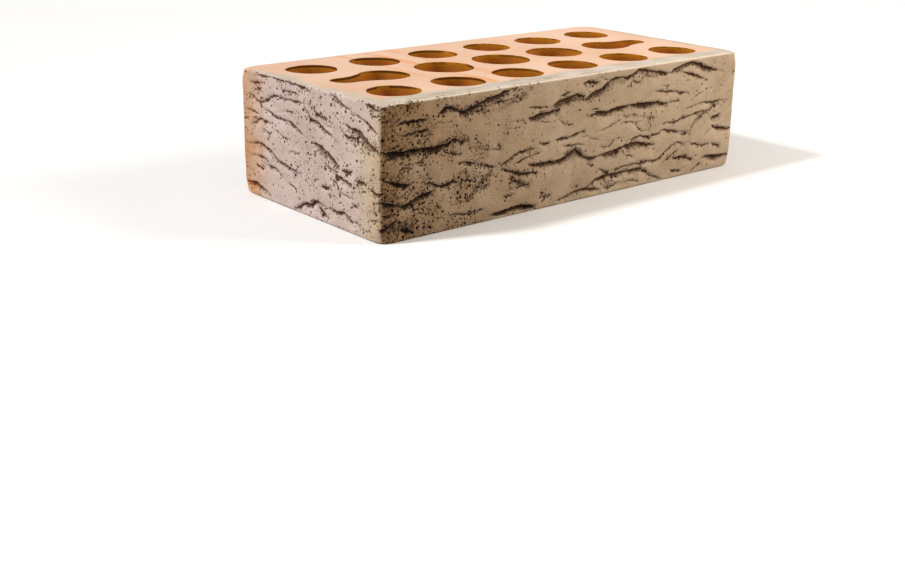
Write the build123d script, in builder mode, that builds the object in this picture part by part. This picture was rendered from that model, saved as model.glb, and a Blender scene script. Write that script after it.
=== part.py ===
"""Perforated clay facing brick, laid on its bed.

The clay leaves the extruder as one column with the openings already in it, and wires cut
the column into bricks. So every opening runs straight up through the brick, the four upright
corners carry the rounding of the die, and the edges of the two cut beds are eased by the cut.

Frame: origin at the middle of the lower bed, +X along the length, +Y along the width, +Z up.
All sizes are in millimetres.
"""

import os
from math import hypot, sqrt

from build123d import *

# Size of the brick
length = 250.0
width = 120.0
height = 65.0

# Rounding of the outer edges
corner_radius = 3.0
arris_radius = 1.2  # edges of both beds

# Round openings of the two outer rows
outer_hole_diameter = 26.0
outer_holes_per_row = 6
long_face_wall = 13.0  # clay between an outer row and the long face beside it
end_face_wall = 14.0  # clay between the last opening of an outer row and the end face

# Larger round openings of the middle row
middle_hole_diameter = 31.0
middle_hole_count = 3

# Drop-shaped openings that close the middle row, one at each end
drop_large_radius = 13.0
drop_small_radius = 7.0
drop_flank_radius = 24.0  # hollow flanks that join the large lobe to the small one
drop_end_wall = 16.0  # clay between the tip of a drop and the end face

# The middle row stands between the openings of the outer rows, at the same pitch
outer_row_y = width / 2 - long_face_wall - outer_hole_diameter / 2
pitch = (length - 2 * end_face_wall - outer_hole_diameter) / (outer_holes_per_row - 1)
drop_large_x = pitch * (middle_hole_count + 1) / 2
drop_small_x = length / 2 - drop_end_wall - drop_small_radius


def point_towards(start, target, distance):
    """The point at that distance from start, on the way to target."""
    share = distance / hypot(target[0] - start[0], target[1] - start[1])
    return (start[0] + share * (target[0] - start[0]), start[1] + share * (target[1] - start[1]))


# Drop at the +X end: half of its outline, from the inner end round to the tip.
# The flank's circle touches both lobes from outside.
large_centre = (drop_large_x, 0.0)
small_centre = (drop_small_x, 0.0)
lobe_distance = drop_small_x - drop_large_x
large_reach = drop_large_radius + drop_flank_radius
small_reach = drop_small_radius + drop_flank_radius
flank_along = (lobe_distance**2 + large_reach**2 - small_reach**2) / (2 * lobe_distance)
flank_centre = (drop_large_x + flank_along, sqrt(large_reach**2 - flank_along**2))

inner_end = (drop_large_x - drop_large_radius, 0.0)
leaves_large = point_towards(large_centre, flank_centre, drop_large_radius)
meets_small = point_towards(small_centre, flank_centre, drop_small_radius)
tip = (drop_small_x + drop_small_radius, 0.0)
large_crown = (drop_large_x, drop_large_radius)
neck_aim = ((leaves_large[0] + meets_small[0]) / 2, (leaves_large[1] + meets_small[1]) / 2)
neck = point_towards(flank_centre, neck_aim, drop_flank_radius)
tip_aim = (tip[0], meets_small[1])
tip_shoulder = point_towards(small_centre, tip_aim, drop_small_radius)

with BuildSketch() as drop_opening:
    with BuildLine():
        ThreePointArc(inner_end, large_crown, leaves_large)
        ThreePointArc(leaves_large, neck, meets_small)
        ThreePointArc(meets_small, tip_shoulder, tip)
        mirror(about=Plane.XZ)
    make_face()

# The brick: one block, rounded, with the openings cut through
with BuildPart() as brick:
    with BuildSketch():
        RectangleRounded(length, width, corner_radius)
    extrude(amount=height)
    fillet(brick.faces().sort_by(Axis.Z)[-1].edges(), arris_radius)
    fillet(brick.faces().sort_by(Axis.Z)[0].edges(), arris_radius)

    with BuildSketch():
        with GridLocations(pitch, 2 * outer_row_y, outer_holes_per_row, 2):
            Circle(outer_hole_diameter / 2)
        with GridLocations(pitch, 0, middle_hole_count, 1):
            Circle(middle_hole_diameter / 2)
        add(drop_opening.sketch)
        add(mirror(drop_opening.sketch, about=Plane.YZ, mode=Mode.PRIVATE))
    extrude(amount=height, mode=Mode.SUBTRACT)

brick.part.label = "brick"

os.makedirs("parts", exist_ok=True)
export_step(brick.part, "parts/brick.step")
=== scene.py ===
# %% [markdown]
# A facing brick with a bark face
#
# The object is one piece of fired clay. Wires cut it from a column, so its two beds are smooth and
# pierced, and a roller tore its four sides into something like bark. A slip called engobe was then
# sprayed on the long face, and it drifted over the edges onto the beds and round the ends.
# The lesson takes the plain CAD brick as its frame, carves the bark into a new mesh that stands for
# it, and paints the mesh with node materials that read what the carving left behind.

import math
import random

import bmesh
import bpy
import numpy as np
from mathutils import Matrix, Vector, noise
from mathutils.geometry import delaunay_2d_cdt

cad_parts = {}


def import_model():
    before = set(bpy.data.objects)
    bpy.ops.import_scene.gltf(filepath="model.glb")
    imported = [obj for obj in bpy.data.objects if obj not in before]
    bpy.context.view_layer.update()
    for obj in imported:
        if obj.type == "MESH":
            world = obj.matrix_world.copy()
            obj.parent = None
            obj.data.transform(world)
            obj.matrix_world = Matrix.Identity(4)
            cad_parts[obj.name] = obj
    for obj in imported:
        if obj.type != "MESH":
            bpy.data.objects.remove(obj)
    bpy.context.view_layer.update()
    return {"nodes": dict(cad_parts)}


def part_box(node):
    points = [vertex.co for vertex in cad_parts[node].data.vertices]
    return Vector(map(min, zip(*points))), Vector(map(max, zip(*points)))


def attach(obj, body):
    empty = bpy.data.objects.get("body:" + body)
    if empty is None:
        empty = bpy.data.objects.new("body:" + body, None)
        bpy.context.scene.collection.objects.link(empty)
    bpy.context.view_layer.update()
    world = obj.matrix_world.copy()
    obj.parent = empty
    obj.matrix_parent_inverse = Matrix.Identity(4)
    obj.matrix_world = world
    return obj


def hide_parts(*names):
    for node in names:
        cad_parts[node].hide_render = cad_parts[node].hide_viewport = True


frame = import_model()
MM = 0.001
length, width, height = [(high - low) / MM for low, high in zip(*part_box("brick"))]
print("CAD brick, mm:", round(length, 2), round(width, 2), round(height, 2))

# %% [markdown]
# The view
#
# The camera stands a little above the near corner. Its place is given the way a photographer would
# say it: where it aims, how far it stands back, how far round and how high, and how much it leans.

# %% Camera
view_aim = Vector((-0.0318, 0.0, -0.0535))
view_distance = 0.7085
view_azimuth = math.radians(-40.12)
view_elevation = math.radians(19.51)
view_lean = math.radians(0.78)
view_lens = 51.33

view_back = Vector((math.sin(view_azimuth) * math.cos(view_elevation),
                    -math.cos(view_azimuth) * math.cos(view_elevation),
                    math.sin(view_elevation)))
view_right = Vector((0, 0, 1)).cross(view_back).normalized()
view_up = view_back.cross(view_right)
upright = Matrix((view_right, view_up, view_back)).transposed()

camera = bpy.data.objects.new("camera", bpy.data.cameras.new("camera"))
camera.data.sensor_width = 36.0
camera.data.lens = view_lens
camera.matrix_world = (Matrix.Translation(view_aim + view_distance * view_back)
                       @ upright.to_4x4() @ Matrix.Rotation(view_lean, 4, "Z"))
bpy.context.collection.objects.link(camera)
bpy.context.scene.camera = camera
print("camera at, mm:", [round(c / MM) for c in camera.matrix_world.translation])

# %% [markdown]
# Walking round the brick
#
# The bark runs round the corners without a break, so the sides are one sheet. A point of the sheet is
# named by two distances in millimetres: how far it lies around the brick, and how far up. The walk
# starts at the back of the left end, follows the left end to the near corner, then the front, the
# right end and the back. Close to a corner or an edge of a bed the sheet bends round an arc.

# %% The sheet of the sides
corner_radius = 3.0
arris_radius = 1.2
columns = 740
rows = 105

perimeter = 2 * (length + width)
around = np.arange(columns) * perimeter / columns
up = np.linspace(-arris_radius, height + arris_radius, rows)
left_end_starts = 0.0
front_starts = width
right_end_starts = width + length
back_starts = 2 * width + length

# Each side: where it starts, how long it is, which way it runs and which way it faces
sides = [
    ((-length / 2, width / 2), width, (0, -1), (-1, 0)),
    ((-length / 2, -width / 2), length, (1, 0), (0, -1)),
    ((length / 2, -width / 2), width, (0, 1), (1, 0)),
    ((length / 2, width / 2), length, (-1, 0), (0, 1)),
]

def outline_at(distance):
    """Point and outward direction on the brick's plan, that far around it."""
    walked = distance % perimeter
    for number, (start, run, along, out) in enumerate(sides):
        if walked < run:
            break
        walked -= run
    start, along, out = Vector(start), Vector(along), Vector(out)
    if corner_radius <= walked <= run - corner_radius:
        return start + along * walked, out
    turned_in = walked < corner_radius
    neighbour = Vector(sides[number - 1 if turned_in else (number + 1) % 4][3])
    turn = math.radians(90) * (corner_radius - (walked if turned_in else run - walked)) / (2 * corner_radius)
    facing = out * math.cos(turn) + neighbour * math.sin(turn)
    corner = start if turned_in else start + along * run
    return corner - (out + neighbour) * corner_radius + facing * corner_radius, facing

def edge_at(rise):
    """Height, setback and tilt of the sheet's profile, that far up."""
    if rise < arris_radius:
        tilt = math.radians(-90) * (arris_radius - rise) / (2 * arris_radius)
        return arris_radius * (1 + math.sin(tilt)), arris_radius * (1 - math.cos(tilt)), tilt
    if rise > height - arris_radius:
        tilt = math.radians(90) * (rise - height + arris_radius) / (2 * arris_radius)
        return height - arris_radius * (1 - math.sin(tilt)), arris_radius * (1 - math.cos(tilt)), tilt
    return rise, 0.0, 0.0

plan = [outline_at(distance) for distance in around]
plan_points = np.array([point for point, facing in plan])
plan_facing = np.array([facing for point, facing in plan])
profile = np.array([edge_at(rise) for rise in up])
tilt_cos, tilt_sin = np.cos(profile[:, 2]), np.sin(profile[:, 2])

sheet = np.empty((columns, rows, 3))
sheet[..., :2] = plan_points[:, None] - plan_facing[:, None] * profile[None, :, 1, None]
sheet[..., 2] = profile[None, :, 0]
sheet_facing = np.empty((columns, rows, 3))
sheet_facing[..., :2] = plan_facing[:, None] * tilt_cos[None, :, None]
sheet_facing[..., 2] = tilt_sin[None, :]
AROUND, UP = np.meshgrid(around, up, indexing="ij")
print("sheet points:", sheet.shape[0] * sheet.shape[1], "cell, mm:", perimeter / columns, up[1] - up[0])

# %% [markdown]
# Furrows that were read off the brick
#
# Bark furrows look random, but on the two faces that are seen they sit in known places, so they are
# listed. Each has a strength, the reach of the brown shade below its lip, and the points of
# the lip from left to right. Positions on the left end count from its back edge, and positions on
# the front count from the near corner. Heights count from the lower bed.

# %% Furrows of the left end and the front
end_furrows = [
    (0.85, 1.0, [(13, 63.4), (17, 63.8), (25, 64.6), (31, 65.2), (38, 65.0), (52, 65.0), (57, 64.2),
                 (64, 62.0)]),
    (0.50, 0.8, [(37, 59.3), (43, 59.6), (48, 59.7), (54, 59.2)]),
    (0.37, 1.0, [(3, 48), (9, 51), (12, 52.5), (15, 50.6), (18, 50.0), (25, 52.8), (32, 56.2),
                 (38, 55.6), (52, 55.9), (58, 56.2), (65, 57.2)]),
    (0.50, 2.6, [(64.5, 57), (66, 54.5), (68, 53.0), (73, 51.9), (77, 51.2)]),
    (0.40, 1.0, [(57, 55), (61, 52), (63, 49.3), (70, 48.7), (76, 45.4), (80, 45.0), (86, 41.5)]),
    (0.40, 0.9, [(20, 47), (24, 47.9), (30, 45.6), (34, 44.8), (38, 45.2), (47, 44.1), (53, 41.7),
                 (60, 39.6)]),
    (0.50, 1.4, [(9, 37), (13, 39.8), (16, 42.0), (19, 42.0), (22, 41.0), (29, 41.2)]),
    (0.35, 1.2, [(18, 37.4), (22, 36.4), (27, 35.4)]),
    (0.38, 0.8, [(29, 38.4), (34, 37.8), (37, 36.6), (43, 35.7)]),
    (0.50, 1.6, [(0, 27), (6, 27.2), (10, 28), (15, 28.9), (20, 28.8), (27, 26.2), (35, 22.5),
                 (43, 21.9), (55, 19.4)]),
    (0.40, 1.2, [(9, 21.4), (14, 22.2), (20, 21.7), (25, 20.2)]),
    (0.55, 1.0, [(19, 18.2), (23, 19.2), (31, 18.0), (34, 17.2), (38, 15.2)]),
    (0.40, 0.8, [(12, 16.8), (17, 16.3), (20, 16.2)]),
    (0.35, 0.8, [(42, 13.6), (46, 12.6), (50, 11.7)]),
    (0.60, 2.4, [(0, 6.4), (9, 6.8), (14, 6.5), (18, 5.5), (22, 4.6), (26, 2.6)]),
    (0.60, 1.6, [(47, 1.4), (52, 3.4), (57, 6.4), (60, 6.2), (64, 8.6), (68, 9.4), (72, 8.9), (76, 7.9)]),
    (0.50, 1.2, [(68, 6.8), (72, 5.7), (77, 3.0)]),
    (0.55, 1.8, [(75, 8.3), (82, 8.2), (87, 8.2), (89, 9.7), (94, 7.0), (98, 6.2), (103, 5.5), (106, 2.6)]),
    (0.85, 3.0, [(64, 38.2), (68, 38.0), (75, 35.9), (79, 34.8), (82, 32.7), (86.5, 30.2)]),
    (0.45, 1.2, [(74, 28.9), (78, 28.7), (80, 27.9), (85, 27.8)]),
    (0.85, 1.4, [(82, 25.8), (87, 25.9), (90, 24.9), (96, 24.1)]),
    (0.50, 1.0, [(88, 29.4), (92, 29.8), (97, 30.4)]),
    (0.55, 0.9, [(99.5, 26.6), (104, 26.9), (108, 26.5)]),
    (0.60, 1.0, [(109, 25.2), (113, 24.5), (117, 24.0), (123, 24.6)]),
    (0.45, 1.2, [(78, 23.4), (82, 22.7), (84, 21.5), (88, 17.9), (91, 18.0), (97, 17.2)]),
    (0.30, 0.8, [(96, 16.4), (98, 15.0), (101, 13.8)]),
    (0.45, 1.4, [(87, 49.6), (91, 47.5), (94, 46.8), (99, 47.0), (104, 45.0)]),
    (1.00, 2.4, [(89, 52.6), (93, 51.9), (96, 50.6), (103, 50.3), (106, 48.6), (112, 45.4), (119, 43.0)]),
    (0.45, 0.8, [(79, 64.6), (84, 63.2), (90, 60.4), (96, 59.8), (98, 58.0), (100, 55.4)]),
    (0.50, 1.2, [(99, 58.3), (104, 57.5), (111, 54.5), (118, 52.0)]),
    (0.50, 0.8, [(107, 64.3), (112, 64.2), (115, 62.5), (118, 63.2), (123, 63.4)]),
    (0.30, 0.6, [(70, 17.2), (75, 18.4), (79, 19.2)]),
    (0.30, 0.6, [(8, 59.2), (14, 60.2), (24, 60.6)]),
    (0.30, 0.8, [(12, 55.4), (20, 57.2)]),
    (0.35, 1.2, [(4, 44.4), (9, 45.0), (17, 44.2)]),
]

front_furrows = [
    (0.62, 1.0, [(8.5, 54.6), (11, 55.6), (20, 55.9), (24, 56.4), (28, 55.9)]),
    (0.90, 1.8, [(33, 56.2), (36, 59.2), (40, 60.2), (43.5, 59.4), (46, 57.6), (50, 55.8), (53, 57.6),
                 (58, 58.7)]),
    (0.60, 2.6, [(51, 56.6), (55, 58.2), (60, 59.6), (64, 60.5), (70, 61.9), (75, 63.0), (82, 64.0)]),
    (1.00, 1.6, [(-5, 43.4), (0, 43.6), (5, 43.2), (10, 42.8), (18, 42.5), (25, 42.2), (30, 41.7),
                 (35, 41.6), (40, 42.9), (45, 44.6)]),
    (0.45, 2.0, [(42, 45.0), (46, 42.6), (50, 42.0)]),
    (0.52, 0.8, [(52, 38.4), (57, 37.8), (61, 37.2), (66, 36.0), (74, 34.2)]),
    (0.40, 0.7, [(69, 38.6), (74, 36.4)]),
    (0.35, 1.0, [(45, 32.4), (50, 32.4), (55, 31.4), (63, 28.6), (66, 27.6), (71, 26.6)]),
    (0.42, 1.2, [(72.5, 26.4), (75, 27.9), (81, 30.2), (85, 31.5), (90, 32.4), (96, 31.8)]),
    (0.50, 0.8, [(72.5, 25.4), (77, 23.9), (84, 21.2), (88, 20.4), (95, 19.7), (104, 18.4)]),
    (0.70, 1.4, [(-2, 31.6), (3, 30.1), (8, 28.6), (13, 26.6), (16, 26.0), (18.5, 27.0), (19.5, 30)]),
    (0.85, 4.0, [(-6, 19.4), (0, 20.7), (4, 19.6), (8, 18.0), (13, 16.6)]),
    (0.85, 1.4, [(9, 17.4), (12, 16.6), (16, 17.7), (25, 20.2), (31, 21.4)]),
    (0.30, 0.8, [(-3, 14.6), (4, 13.9), (10, 13.4)]),
    (0.65, 3.4, [(-4, 7.0), (2, 8.4), (6, 10.0), (9, 10.8), (13, 8.4)]),
    (0.70, 1.6, [(9, 6.6), (12, 5.8), (15, 5.0), (19, 3.6)]),
    (0.45, 0.8, [(12, 49.8), (18, 50.4), (22, 50.4), (28, 52.2)]),
    (0.55, 1.4, [(27, 26.0), (30, 25.2), (36, 22.9), (40, 23.3), (45, 24.4)]),
    (0.32, 0.6, [(39, 7.0), (48, 6.7), (56, 6.0), (63, 6.8)]),
    (0.95, 1.4, [(67, 3.2), (72, 3.0), (78, 3.6), (84, 4.3), (90, 3.8), (98, 2.0)]),
    (1.00, 1.8, [(90, 47.4), (94, 47.8), (97, 49.4), (99, 49.6), (102, 48.2), (106, 49.2), (112, 49.9)]),
    (0.32, 0.8, [(89, 53.4), (95, 52.8), (100, 52.0), (108, 52.0)]),
    (1.15, 2.8, [(107, 52.2), (110, 53.4), (114, 54.0), (118, 54.9), (122, 55.8), (125, 55.6),
                 (129, 53.2)]),
    (0.30, 0.6, [(109, 54.8), (114, 56.5), (120, 58.8)]),
    (0.92, 2.2, [(129, 52.2), (132, 54.2), (135, 55.4), (139, 55.7), (143, 57.5), (147, 59.8),
                 (150, 60.8), (156, 60.9)]),
    (0.90, 1.4, [(154, 60.8), (160, 60.8), (165, 61.3), (168, 63.2), (172, 63.3), (176, 61.8),
                 (185, 60.4), (194, 59.0)]),
    (0.85, 1.4, [(193, 59.0), (196, 61.2), (200, 61.7), (203, 62.7), (207, 63.5), (212, 63.2),
                 (216, 62.5), (223, 59.5), (228, 58.0), (239, 54.6)]),
    (0.50, 1.2, [(196, 59.4), (202, 59.5), (206, 58.5), (215, 55.5), (224, 52.2)]),
    (0.60, 1.2, [(127, 60.4), (131, 61.6), (134, 60.9), (140, 60.1)]),
    (0.28, 0.5, [(140, 62.4), (146, 60.9)]),
    (1.00, 1.2, [(131, 44.0), (135, 43.6), (140, 44.5), (152, 44.8), (160, 45.2), (166, 45.5),
                 (180, 44.8), (186, 44.3), (194, 42.4)]),
    (0.50, 1.0, [(193, 44.2), (198, 43.5), (203, 43.1)]),
    (0.48, 1.0, [(180, 50.4), (186, 50.0), (192, 49.5), (198, 48.8), (203, 47.8), (210, 46.7)]),
    (0.28, 1.0, [(134, 46.4), (140, 46.6)]),
    (0.30, 0.8, [(98, 34.7), (102, 34.2), (106, 33.6)]),
    (0.38, 0.8, [(109, 34.4), (115, 34.5), (119, 34.1)]),
    (0.55, 1.0, [(119, 34.2), (124, 36.0), (131, 36.8)]),
    (0.38, 0.8, [(114, 30.6), (120, 30.4), (125, 30.1), (131, 29.6)]),
    (1.05, 1.6, [(91, 24.4), (96, 23.6), (100, 23.9), (105, 24.0), (110, 23.5), (114, 23.7),
                 (119, 24.7), (121, 27.0), (124, 27.6), (127, 26.3), (130, 23.2), (133, 21.3)]),
    (0.90, 2.0, [(129, 23.6), (132, 21.6), (136, 21.0), (142, 21.7), (150, 22.5), (163, 23.9),
                 (168, 24.6), (173, 24.4), (178, 23.0), (185, 21.4)]),
    (0.36, 0.8, [(133, 19.6), (136, 17.6), (139, 15.2)]),
    (0.36, 0.8, [(140, 14.9), (145, 13.1), (150, 11.2)]),
    (0.55, 0.9, [(164, 26.2), (170, 27.5), (175, 27.0), (181, 26.0)]),
    (0.30, 0.6, [(180, 26.8), (189, 27.1)]),
    (0.42, 1.2, [(188, 28.2), (191, 29.5), (194, 28.3), (199, 26.7), (205, 26.0), (213, 25.5)]),
    (0.36, 0.7, [(187, 31.3), (193, 31.9), (198, 31.8), (208, 33.4), (220, 34.9), (229, 35.1)]),
    (0.50, 1.2, [(205, 24.2), (209, 24.2), (212, 25.6)]),
    (0.30, 1.0, [(216, 30.4), (220, 32.1), (225, 34.3), (230, 36.4), (237, 37.6)]),
    (0.38, 0.7, [(207, 38.4), (211, 38.5), (216, 39.2), (222, 39.5), (236, 38.9), (246, 38.3)]),
    (0.30, 0.8, [(149, 12.1), (157, 12.4), (165, 13.2), (180, 14.6)]),
    (0.58, 0.9, [(169, 11.8), (176, 12.5), (181, 12.8), (184, 12.1), (187, 12.5), (191, 14.5),
                 (194, 17.0), (202, 20.3), (206, 19.3), (210, 17.6)]),
    (0.42, 0.9, [(209, 18.2), (214, 17.9), (223, 15.5), (231, 15.7)]),
    (0.62, 1.4, [(132, 5.6), (136, 7.6), (140, 9.6), (145, 10.1), (158, 9.8), (172, 10.0), (175, 9.5),
                 (183, 5.2), (192, 0.8)]),
    (0.58, 1.0, [(112, 2.6), (118, 3.8), (124, 4.8), (130, 5.5), (136, 4.8), (144, 3.2)]),
    (0.55, 0.8, [(100, 6.0), (105, 6.3), (108, 5.0)]),
    (0.58, 0.9, [(200, 11.6), (205, 11.5), (210, 10.8), (218, 8.6)]),
    (0.36, 0.8, [(216, 1.4), (221, 3.4), (225, 5.6)]),
    (0.95, 1.4, [(224, 7.6), (229, 8.3), (234, 8.0), (240, 7.3), (249, 6.4), (254, 6.0)]),
    (0.70, 1.6, [(230, 30.2), (234, 30.4), (238, 31.0)]),
    (0.62, 1.2, [(231, 26.0), (235, 25.1), (238, 23.8), (242, 22.8), (250, 21.8)]),
    (0.30, 0.6, [(225, 20.8), (229, 23.3), (233, 25.6)]),
    (0.36, 0.9, [(232, 15.4), (236, 14.2), (241, 12.0)]),
    (0.46, 0.9, [(84, 14.4), (88, 14.7), (93, 14.1)]),
    (0.32, 1.4, [(79, 19.4), (84, 17.4), (89, 15.3)]),
    (0.30, 0.5, [(14.5, 64.4), (18, 62.2)]),
]

# Soft smears of the front, where the clay was dragged but did not open, in painted shade: strength, width and
# points
front_shaded_smears = [
    (0.70, 2.2, [(52, 13), (56, 16.5), (61, 20.5), (67, 25)]),
    (0.55, 3.0, [(71, 55), (80, 57.5), (85, 59.5), (92, 62.5)]),
    (0.55, 1.6, [(159, 40), (165, 39.6), (170, 39), (178, 37), (183, 36)]),
    (0.62, 1.8, [(212.5, 23.5), (214, 27), (216, 29.5), (222, 32), (230, 35.5)]),
    (0.45, 2.2, [(147, 2), (152, 4), (163, 4.6), (168, 4.4), (171, 6.5), (174, 8.8)]),
    (0.70, 3.2, [(47, 56.8), (52, 57.0), (58, 58.0)]),
    (0.60, 3.6, [(-2, 20), (4, 21), (9, 22.5)]),
    (0.75, 3.2, [(0, 7), (6, 8), (12, 7), (18, 6)]),
    (0.70, 2.4, [(33, 43), (40, 42.5), (46, 43.5), (52, 42)]),
    (0.95, 3.0, [(117, 25.0), (122, 26.0), (127, 24.8)]),
    (0.55, 2.2, [(163, 22.4), (170, 22.8), (180, 21.5)]),
    (0.55, 2.0, [(135, 53.4), (143, 55.6), (150, 58.2), (158, 58.6)]),
    (0.50, 2.0, [(175, 42.6), (184, 42.2), (192, 41.6)]),
    (0.85, 2.2, [(108, 51.5), (114, 52), (122, 53.4), (127, 53)]),
    (0.50, 1.8, [(170, 61), (176, 60), (186, 58.8)]),
    (0.70, 2.6, [(80, 18), (86, 16), (92, 13.5)]),
    (0.45, 2.2, [(26, 24), (33, 22.5), (40, 21.8)]),
    # Painted shade of the rounded near corner, laid as a wide smear
    (0.52, 6.0, [(-1, 47), (4, 53), (9, 57)]),
    (0.40, 4.5, [(9, 9), (15, 10), (21, 9)]),
    (0.38, 4.0, [(40, 38), (46, 40), (52, 37)]),
]
print("furrows by hand:", len(end_furrows), "on the left end and", len(front_furrows), "on the front")

# %% [markdown]
# Furrows that nobody has seen
#
# The right end and the back were torn by the same roller, so they get furrows of the same kind, drawn
# from a fixed seed. A side is laid out in courses: torn pieces follow each other along a course, spurs
# leave the strong ones, and short tears lie between. A new furrow is only kept where no other lip lies
# close above or below it, because torn clay opens in one place at a time. Short hairline cracks go all
# the way round.

# %% Furrows of the right end and the back
draw = random.Random(43)
end_softness = 0.9
far_softness = 0.9
far_part = 146.0

bark = []
for power, fade, path in end_furrows:
    bark.append((end_softness * power, fade, [(left_end_starts + s, z) for s, z in path]))
for power, fade, path in front_furrows:
    softness = far_softness if path[0][0] > far_part else 1.0
    bark.append((softness * power, fade, [(front_starts + s, z) for s, z in path]))

knee_chance = 0.15
knee_climbs = (-0.8, 0.9)
knee_stride = (2.5, 4.5)
usual_stride = (3.5, 8.0)
pull_to_lean = 0.45

def torn_path(start, rise, run, lean=0.0):
    """A lip that wanders about its lean as it goes, with a steep knee now and then."""
    points, slope = [(start, rise)], lean
    while points[-1][0] < start + run:
        knee = draw.random() < knee_chance
        stride = draw.uniform(*(knee_stride if knee else usual_stride))
        slope += draw.uniform(-0.3, 0.3) - pull_to_lean * (slope - lean)
        climb = draw.choice(knee_climbs) if knee else slope
        points.append((points[-1][0] + stride, points[-1][1] + stride * climb))
    return points

def crowded(path, kept, room):
    """True where the path comes closer than that to a lip that is already there."""
    for power, fade, other in kept:
        places = [a for a, z in other]
        for a, z in path:
            if places[0] - room < a < places[-1] + room:
                if abs(np.interp(a, places, [r for p, r in other]) - z) < room:
                    return True
    return False

course_gap = (6.5, 12.0)
shortest_piece, longest_piece, usual_extra = 12.0, 110.0, 34.0
side_margin = 8.0
tries_per_piece = 6
strong_enough_for_a_spur = 0.42
tears_per_mm = 0.8
piece_room, spur_room, tear_room, hair_room = 2.3, 1.2, 3.0, 2.2

def torn_side(starts, ends):
    """Furrows of one side: courses of torn pieces, spurs that leave them and short tears between them."""
    kept = []

    def keep(power, fade, path, room):
        inside = all(0.5 < z < height + 0.5 and starts <= a <= ends for a, z in path)
        fits = inside and not crowded(path, kept, room)
        if fits:
            kept.append((power, fade, path))
        return fits

    course = draw.uniform(2.0, 5.0)
    while course < height:
        vigour = draw.uniform(0.45, 1.0)
        place_along = starts + draw.uniform(0, 9)
        rise = course
        while place_along < ends - side_margin:
            run = shortest_piece + draw.expovariate(1 / usual_extra)
            run = min(run, longest_piece, ends - place_along - side_margin)
            for attempt in range(tries_per_piece):
                path = torn_path(place_along, rise, run, draw.uniform(-0.14, 0.24))
                power = min(1.0, vigour * (0.28 + run / 80))
                if keep(power, draw.uniform(0.7, 2.0), path, piece_room):
                    break
            place_along = path[-1][0] + draw.uniform(-4, 16)
            rise = path[-1][1] + draw.uniform(-3, 3)
            rise += 0.6 * (course - rise)
        course += draw.uniform(*course_gap)

    for power, fade, path in list(kept):
        if power > strong_enough_for_a_spur and len(path) > 3:
            place_along, rise = draw.choice(path[1:-1])
            way = draw.choice((-1, 1))
            spur = [(place_along + 1.0, rise + 1.8 * way)]
            while len(spur) < 4:
                stride = draw.uniform(2.0, 4.5)
                spur.append((spur[-1][0] + stride, spur[-1][1] + way * stride * draw.uniform(0.35, 1.0)))
            keep(draw.uniform(0.26, 0.45), draw.uniform(0.6, 1.2), spur, spur_room)

    for attempt in range(int(tears_per_mm * (ends - starts))):
        start, rise = draw.uniform(starts, ends), draw.uniform(1, height)
        path = torn_path(start, rise, draw.uniform(4, 16), draw.uniform(-0.5, 0.6))
        keep(draw.uniform(0.22, 0.5), draw.uniform(0.6, 1.4), path, tear_room)
    return kept

hidden = torn_side(right_end_starts - 2, back_starts + 3) + torn_side(back_starts + 5, perimeter - 3)
bark += hidden

hairline_tries = 320
hairlines = []
for attempt in range(hairline_tries):
    start = draw.uniform(0, perimeter)
    path = torn_path(start, draw.uniform(3, height - 3), draw.uniform(4, 15))
    if not crowded(path, bark, hair_room):
        hairlines.append((draw.uniform(0.10, 0.24), draw.uniform(0.3, 0.8), path))
bark += hairlines
print("furrows drawn:", len(hidden), "hairlines:", len(hairlines), "in all:", len(bark))

# %% [markdown]
# Carving
#
# Each furrow is a lip with a gash below it and a long slope that climbs back to the face, like a
# lifted scale of bark. The carving keeps records for the paint: how far each point lies below the
# nearest lip, how wide the gash is there and how strong, and how much soft shade lies around it.
# A distance is kept rather than a dark spot, because a distance stays sharp between the points of
# the sheet, so the paint can draw a crack that is finer than the mesh. Smears carve a little too.

# %% Carve the furrows
def wander(points, size, seed):
    """Smooth noise, about -1 to 1, with bumps about that many millimetres across."""
    shift = Vector((17.3 * seed, 5.1 * seed, 9.7 * seed))
    return np.array([noise.noise(Vector(point) / size + shift) for point in points])

def drift(distances, size, seed):
    """The same noise along a line."""
    return wander([(distance, 3.7 * seed, 0.0) for distance in distances], size, seed)

far_away = 6.0
thinnest_half = 0.1
lip_blur = [0.15, 0.2, 0.3, 0.2, 0.15]
carved = np.zeros((columns, rows))
from_gash = np.full((columns, rows), far_away)
below_lip = np.full((columns, rows), far_away)
half_gash = np.full((columns, rows), thinnest_half)
strength = np.zeros((columns, rows))
shade = np.zeros((columns, rows))

# Sizes of a furrow in millimetres: what the weakest one has, and what full power adds
gash_half_width = (0.11, 0.80)
gash_depth = (0.25, 1.75)
foot_reach = (0.5, 0.7)
slope_reach = (1.5, 5.5)
lip_round = 0.35

def at_power(size, power):
    """A size of a furrow of that power."""
    return size[0] + size[1] * power

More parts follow.
